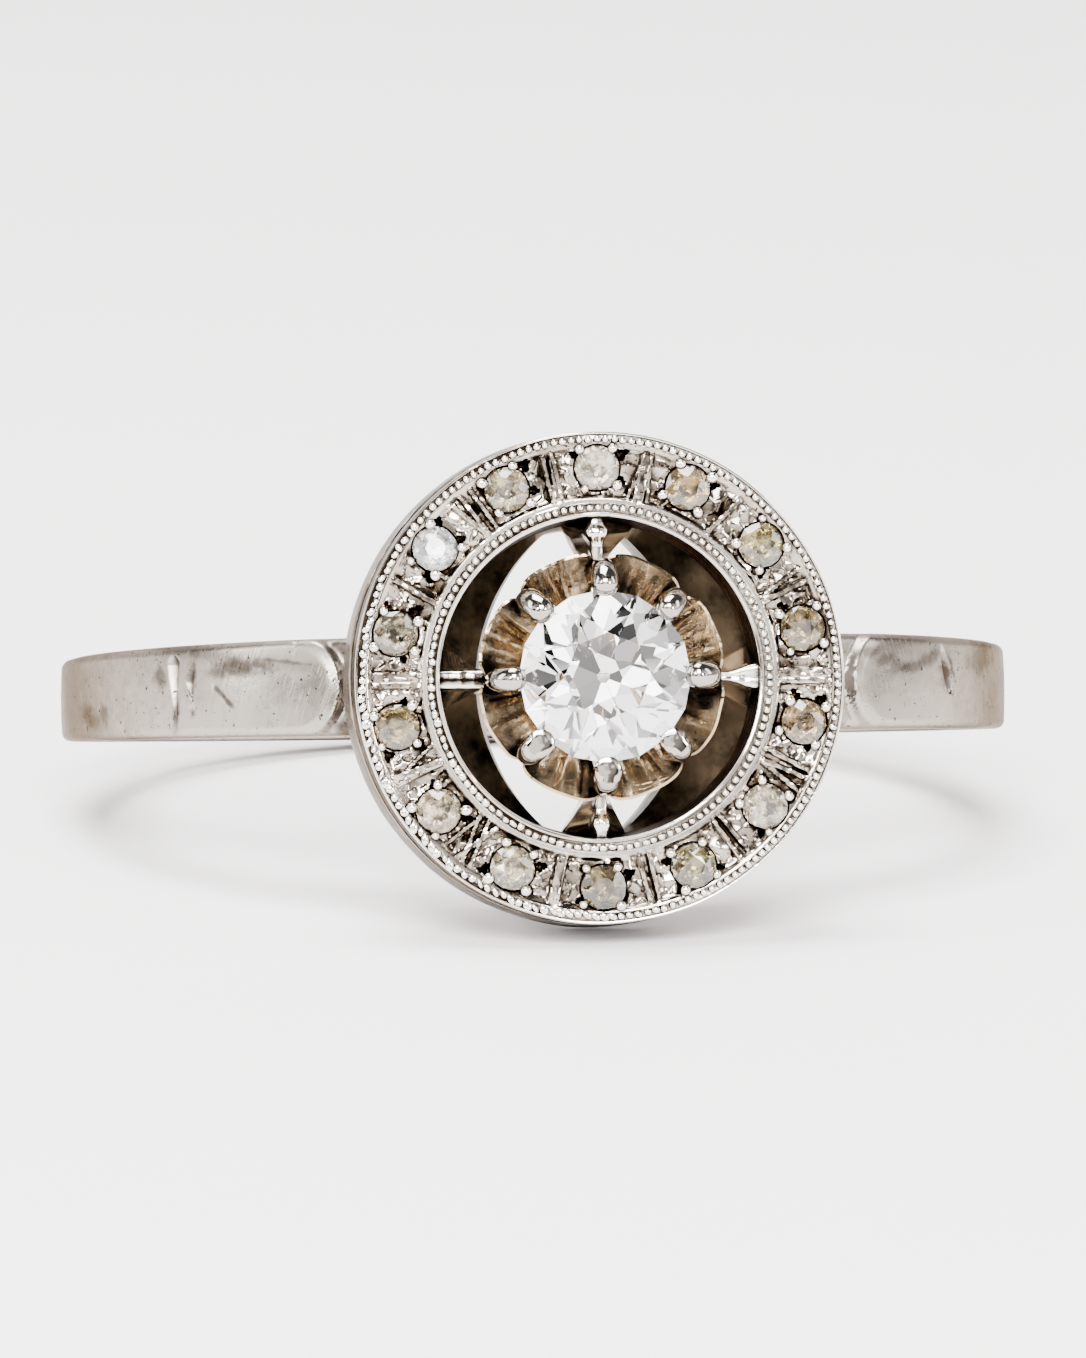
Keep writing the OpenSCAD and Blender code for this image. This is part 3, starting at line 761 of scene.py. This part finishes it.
# 0 in the middle of each petal and 1 at the claws beside it
from_middle = np.abs(((cup_turn / math.tau * claw_count) % 1) - 0.5) * 2
scallop = from_middle ** 6
scoop = scoop_depth * (1 - from_middle ** 2)
rim_r = cup_rim_r - scallop_in * scallop - 0.02 * waviness(cup_turn * 2.4, cup_turn * 0, 0.9, 8)
rim_w = cup_rim_w - scallop_down * scallop
layers = []
for share in np.linspace(0, 1, 18):
    r = cup_waist_in_r + (rim_r - 0.05 - cup_waist_in_r) * share
    w = cup_waist_w + (rim_w - cup_waist_w) * share ** 0.85 - scoop * math.sin(share * math.pi * 0.5)
    # The scoops show grazes from the cutting
    graze = np.sin(cup_turn * 32 + 5 * waviness(cup_turn * 2, cup_turn * 0, 0.9, 12)) * math.sin(share * 2.8)
    layers.append(round_head(r, cup_turn, w + graze_depth * graze))
layers.append(round_head(rim_r, cup_turn, rim_w - scoop - 0.03))
layers.append(round_head(rim_r - 0.02, cup_turn, rim_w - scoop - 0.12))
under_r, under_w, under_waist_w = rim_r - 0.03, rim_w - 0.14, cup_waist_w - 0.05
for share in np.linspace(0.1, 1, 9):
    w = under_w - scoop * (1 - share) + (under_waist_w - under_w) * share
    layers.append(round_head(under_r + (cup_waist_r - under_r) * share, cup_turn, w))
stem = [(1.45, -1.2), (1.38, -1.7), (cup_foot_r + 0.02, cup_foot_w + 0.04), (cup_foot_r, cup_foot_w),
        (cup_foot_r - 0.2, cup_foot_w), (cup_foot_r - 0.21, cup_foot_w + 0.05), (1.25, -1.2)]
for r, w in stem:
    layers.append(round_head(r, cup_turn, w))
brown_gold = white_gold("white_gold_tarnished", "#c4ac8a", "#100a05", 0.1, stain_at=(0.55, 1.05),
                        scratches=0.6, uneven=0.6, patches=1.9, pitting=0.7)
add_piece("cup", np.array(layers), grid_faces(len(layers), cup_steps, True, True), [brown_gold], crease=38)


# Claws
# Eight round white gold prongs, soldered into the notches of the cup and pushed over the stone's edge.
# A burnisher has left them mirror bright, the lower ones with a flat on top.
claw_r = 0.26
claw_sides = 20
flat_claws = (3, 4, 5)
flat_w = 1.1
# The middle of a claw, as radius and height
claw_line = np.array([
    (1.62, -1.5), (1.78, -1.15), (1.92, -0.8), (2.0, -0.4), (2.05, 0.0), (2.075, 0.35), (2.08, 0.62),
    (2.055, 0.8), (1.99, 0.93), (1.9, 1.01), (1.8, 1.045),
])
so_far = np.concatenate([[0], np.cumsum(np.hypot(*np.diff(claw_line, axis=0).T))])
samples = np.linspace(0, so_far[-1], 34)
line_r, line_w = np.interp(samples, so_far, claw_line[:, 0]), np.interp(samples, so_far, claw_line[:, 1])
for _ in range(3):
    for line in (line_r, line_w):
        line[1:-1] = (line[:-2] + 2 * line[1:-1] + line[2:]) / 4
step_r, step_w = np.gradient(line_r), np.gradient(line_w)
length = np.hypot(step_r, step_w)
step_r, step_w = step_r / length, step_w / length
side_turn = np.arange(claw_sides) * math.tau / claw_sides
burnish = np.random.default_rng(21)
points, faces = [], []
for number in range(claw_count):
    turn = number * math.tau / claw_count + burnish.normal(0, 0.012)
    width = claw_r * burnish.uniform(0.97, 1.08)
    layers = []
    for r, w, dr, dw, share in zip(line_r, line_w, step_r, step_w, samples / samples[-1]):
        thick = width * (0.8 + 0.2 * rise(share, 0, 0.35))
        front = np.sin(side_turn) * thick * 0.95
        layers.append((np.cos(side_turn) * thick, r + dw * front, w - dr * front))
    # The tip is round
    side_end, r_end, w_end = layers[-1]
    for share in (0.35, 0.62, 0.82, 0.95, 1.0):
        shrink = math.sqrt(1 - share ** 2) + 1e-3
        forward = width * 0.85 * share
        layers.append((side_end * shrink,
                       line_r[-1] + (r_end - line_r[-1]) * shrink + step_r[-1] * forward,
                       line_w[-1] + (w_end - line_w[-1]) * shrink + step_w[-1] * forward))
    faces += tube_faces(len(layers), claw_sides, start=len(points) * claw_sides)
    for side, out, high in layers:
        if number in flat_claws:
            high = np.where(high > flat_w, flat_w + (high - flat_w) * 0.15, high)
        points.append(on_head(*clockwise(side, out, turn), high))
mirror_bright = white_gold("white_gold_burnished", "#a9a39c", "#17100a", 0.06, stain_at=(0.4, 0.8),
                           scratches=0.12, uneven=0.08, patches=0.2, hollow_mm=0.3)
add_piece("claws", np.array(points), faces, [mirror_bright], crease=28)


# Centre stone
# One old European cut diamond with a small table, a high crown and an open culet, clear and near white.
diamond, _, shader = new_material("diamond_polished_facets")
shader.inputs["Base Color"].default_value = linear("#fbfbfc")
shader.inputs["Roughness"].default_value = 0.0
shader.inputs["IOR"].default_value = 2.42
shader.inputs["Transmission Weight"].default_value = 1
frame["nodes"]["centre_stone"].data.materials.clear()
frame["nodes"]["centre_stone"].data.materials.append(diamond)


# Small stones
# Fourteen little old cut stones, each cut by hand, so no two are alike: the facets are uneven, the girdles
# not quite round, and each is another colour, cloudy inside and scuffed on top.
small_r = 0.45
small_girdle_w = -0.05
# Rings of corners: how many, their radius as a share of the stone's, their height in mm, their first angle
small_rings = [
    (8, 0.46, 0.18, 0), (8, 0.76, 0.108, 22.5), (16, 1.0, 0.027, 0), (16, 1.0, 0.0, 0),
    (8, 0.55, -0.19, 22.5), (4, 0.08, -0.32, 0),
]
# Each stone's colour, the share of light that goes into it, and the share of its colour in its clouds
small_kinds = [
    ("#e9dcc6", 0.8, 0.4), ("#947b50", 0.6, 0.45), ("#a0905e", 0.6, 0.45), ("#7a6742", 0.6, 0.4),
    ("#a88d69", 0.65, 0.4), ("#d6c8ae", 0.7, 0.4), ("#93875f", 0.6, 0.35), ("#7c6f4c", 0.6, 0.35),
    ("#c6ba98", 0.65, 0.4), ("#dac9a6", 0.6, 0.4), ("#8a774d", 0.6, 0.35), ("#94896f", 0.6, 0.3),
    ("#ffffff", 0.6, 0.7), ("#b6aa88", 0.65, 0.35),
]
# The second colour is painted shade for the girdles of the small stones
fleck_colour, girdle_painted_shade = linear("#2a2117"), linear("#4a3f30")
cutter = np.random.default_rng(31)
for number, (tint, clear, cloudy) in enumerate(small_kinds, 1):
    middle_u, middle_v = stone_place(number)
    lean_u, lean_v = cutter.normal(0, 0.045, 2)
    shape = bmesh.new()
    first = cutter.uniform(0, 360)
    for count, share, high, start in small_rings:
        for i in range(count):
            turn = math.radians(first + start + i * 360 / count + cutter.normal(0, 2))
            r = small_r * min(1, share * cutter.uniform(0.95, 1.04))
            u, v = clockwise(0, r, turn)
            w = high + lean_u * u + lean_v * v + cutter.uniform(-0.004, 0.004)
            shape.verts.new(on_head(middle_u + u, middle_v + v, small_girdle_w + w).ravel())
    hull = bmesh.ops.convex_hull(shape, input=shape.verts)
    inside = [part for part in hull["geom_interior"] if isinstance(part, bmesh.types.BMVert)]
    bmesh.ops.delete(shape, geom=inside, context="VERTS")
    bmesh.ops.recalc_face_normals(shape, faces=shape.faces)
    name = f"small_stone_{number:02d}"
    mesh = bpy.data.meshes.new(name)
    shape.to_mesh(mesh)
    shape.free()

    material, tree, shader = new_material(f"old_cut_stone_{number:02d}")
    place = add_node(tree, "TexCoord").outputs["Object"]
    # Clouds about 0.3 mm across and flecks about 0.05 mm across
    cloud = add_node(tree, "TexNoise", {
        "Vector": place, "W": number * 3.1, "Scale": 3600, "Detail": 6, "Roughness": 0.65,
    }, noise_dimensions="4D")
    fleck = add_node(tree, "TexNoise", {
        "Vector": place, "W": number * 1.7, "Scale": 14000, "Detail": 3}, noise_dimensions="4D")
    shade = add_node(tree, "MapRange", {"Value": cloud, "From Min": 0.45, "From Max": 0.57, "To Max": 0.9})
    inclusion = add_node(tree, "MapRange", {
        "Value": fleck, "From Min": 0.62, "From Max": 0.68, "To Max": 0.8})
    clouded = tuple(part * cloudy for part in linear(tint)[:3]) + (1,)
    colour = add_node(tree, "Mix", {0: shade, 6: linear(tint), 7: clouded}, data_type="RGBA")
    colour = add_node(tree, "Mix", {0: inclusion, 6: colour.outputs[2], 7: fleck_colour}, data_type="RGBA")
    # Painted shade: darker towards the girdle, for the dark seat and room seen in the edge facets
    middle = on_head(middle_u, middle_v, small_girdle_w).ravel()
    away = add_node(tree, "VectorMath", {0: place, 1: tuple(middle)}, operation="DISTANCE")
    painted_edge_shade = add_node(tree, "MapRange", {
        "Value": away.outputs["Value"], "From Min": 0.00028, "From Max": 0.00046, "To Max": 0.9}, **eased)
    colour = add_node(tree, "Mix", {0: painted_edge_shade, 6: colour.outputs[2], 7: girdle_painted_shade}, data_type="RGBA")
    tree.links.new(colour.outputs[2], shader.inputs["Base Color"])
    clearness = add_node(tree, "MapRange", {
        "Value": cloud, "From Min": 0.42, "From Max": 0.52,
        "To Min": clear * 0.8, "To Max": 0.97})
    tree.links.new(clearness.outputs[0], shader.inputs["Transmission Weight"])
    scuffed = add_node(tree, "MapRange", {
        "Value": fleck, "From Min": 0.4, "From Max": 0.65, "To Min": 0.02, "To Max": 0.1})
    tree.links.new(scuffed.outputs[0], shader.inputs["Roughness"])
    # Fresh diamond is 2.42; years of wear and clouds have left these with a duller shine
    shader.inputs["IOR"].default_value = 2.0
    mesh.materials.append(material)
    stone = add_object(name, mesh)
    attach(stone, "root")
    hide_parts(f"halo_stone_{number:02d}")


# Floor
# A plain pale board that curves up behind the ring.
floor_half_w = 0.8
floor_front, bend_from, bend_r, floor_top = -0.5, 0.25, 0.2, 0.8
flat = np.linspace(floor_front, bend_from, 12)
bend = np.linspace(0, math.pi / 2, 16)[1:]
floor_depth = np.concatenate([flat, bend_from + bend_r * np.sin(bend), [bend_from + bend_r]])
floor_height = np.concatenate([np.zeros_like(flat), bend_r - bend_r * np.cos(bend), [floor_top]])
points = [(x, y, z) for y, z in zip(floor_depth, floor_height) for x in (-floor_half_w, floor_half_w)]
mesh = bpy.data.meshes.new("floor")
mesh.from_pydata(points, [], grid_faces(len(floor_depth), 2))
mesh.polygons.foreach_set("use_smooth", [True] * len(mesh.polygons))
paper, _, shader = new_material("matt_paper_board")
shader.inputs["Roughness"].default_value = 0.8
shader.inputs["Base Color"].default_value = linear("#f5f2f1")
mesh.materials.append(paper)
floor = add_object("floor", mesh)


# Light
# A soft sky behind the ring and, in front of it, a dark room with bright patches and one fainter patch
# straight ahead for the facets to mirror. Soft boxes stand above, in front and at each side.
world = bpy.data.worlds.new("studio")
bpy.context.scene.world = world
world.use_nodes = True
tree = world.node_tree
direction = add_node(tree, "TexCoord").outputs["Generated"]
parts = add_node(tree, "SeparateXYZ", {0: direction})
shifted = add_node(tree, "VectorMath", {0: direction, 1: (2.1, 1.3, 0.9)}, operation="ADD")
room = add_node(tree, "TexNoise", {"Vector": shifted, "Scale": 4.5, "Detail": 1, "Roughness": 0.4})
patch = add_node(tree, "MapRange", {
    "Value": room, "From Min": 0.46, "From Max": 0.54, "To Min": 0.04, "To Max": 3.4}, **eased)
above = add_node(tree, "MapRange", {
    "Value": parts.outputs["Z"], "From Min": 0.32, "From Max": 0.55, "To Min": 1, "To Max": 0.25}, **eased)
patch = add_node(tree, "Math", {0: patch, 1: above}, operation="MULTIPLY")
in_front = add_node(tree, "MapRange", {
    "Value": parts.outputs["Y"], "From Min": -0.2, "From Max": -0.45}, **eased)
ahead = add_node(tree, "VectorMath", {0: direction, 1: (0.105, -0.968, 0.227)}, operation="DOT_PRODUCT")
fill = add_node(tree, "MapRange", {
    "Value": ahead.outputs["Value"], "From Min": 0.96, "From Max": 0.99, "To Max": 0.8}, **eased)
patch = add_node(tree, "Math", {0: patch, 1: fill}, operation="MAXIMUM")
behind = add_node(tree, "MapRange", {
    "Value": parts.outputs["Z"], "From Min": 0.2, "From Max": 0.5, "To Min": 0.78, "To Max": 0.14}, **eased)
strength = add_node(tree, "Mix", {0: in_front, 2: behind, 3: patch})
tree.links.new(strength.outputs[0], tree.nodes["Background"].inputs["Strength"])
tree.nodes["Background"].inputs["Color"].default_value = linear("#fffaf7")


def soft_box(name, place, size, watts):
    """A rectangular soft light that faces the ring."""
    data = bpy.data.lights.new(name, "AREA")
    data.shape = "RECTANGLE"
    data.size, data.size_y = size
    data.energy = watts
    light = add_object(name, data)
    light.location = place
    toward = np.array([0, 0, 0.005]) - np.array(place)
    light.rotation_mode = "QUATERNION"
    light.rotation_quaternion = Vector(toward).to_track_quat("-Z", "Y")


soft_box("overhead", (-0.05, 0.03, 0.42), (0.26, 0.26), 4.8)
soft_box("front_above", (-0.03, -0.31, 0.24), (0.2, 0.16), 4.2)
soft_box("front_left", (-0.24, -0.3, 0.16), (0.05, 0.1), 1.0)
soft_box("front_right", (0.2, -0.32, 0.1), (0.04, 0.08), 0.8)
soft_box("left", (-0.35, -0.05, 0.15), (0.1, 0.25), 0.7)
soft_box("right", (0.35, -0.1, 0.18), (0.1, 0.25), 0.5)


# Camera
# A long lens a little to the left of the ring and a little above the floor, turned by less than half a
# degree.
azimuth, elevation, roll = (math.radians(angle) for angle in (-6.16, 10.14, -0.34))
distance = 0.2
focal_px = 9528.6
sensor_mm = 36
frame_w, frame_h = 1086, 1358
centre_px = (532.5, 694.8)
back = np.array([
    math.sin(azimuth) * math.cos(elevation), -math.cos(azimuth) * math.cos(elevation), math.sin(elevation)])
right = np.array([math.cos(azimuth), math.sin(azimuth), 0])
up = np.cross(back, right)
right, up = right * math.cos(roll) - up * math.sin(roll), up * math.cos(roll) + right * math.sin(roll)
aim_right = (frame_w / 2 - centre_px[0]) / focal_px * distance
aim_up = (centre_px[1] - frame_h / 2) / focal_px * distance
camera_place = bore_centre + back * distance
gaze = bore_centre + right * aim_right + up * aim_up - camera_place
back = -gaze / np.linalg.norm(gaze)
right = np.cross(up, back)
right = right / np.linalg.norm(right)
up = np.cross(back, right)
camera_data = bpy.data.cameras.new("camera")
camera_data.sensor_width = sensor_mm
camera_data.lens = sensor_mm * focal_px / frame_h
camera_data.clip_start, camera_data.clip_end = 0.01, 10
camera = add_object("camera", camera_data)
camera.matrix_world = Matrix([[right[i], up[i], back[i], camera_place[i]] for i in range(3)] + [[0, 0, 0, 1]])
bpy.context.scene.camera = camera
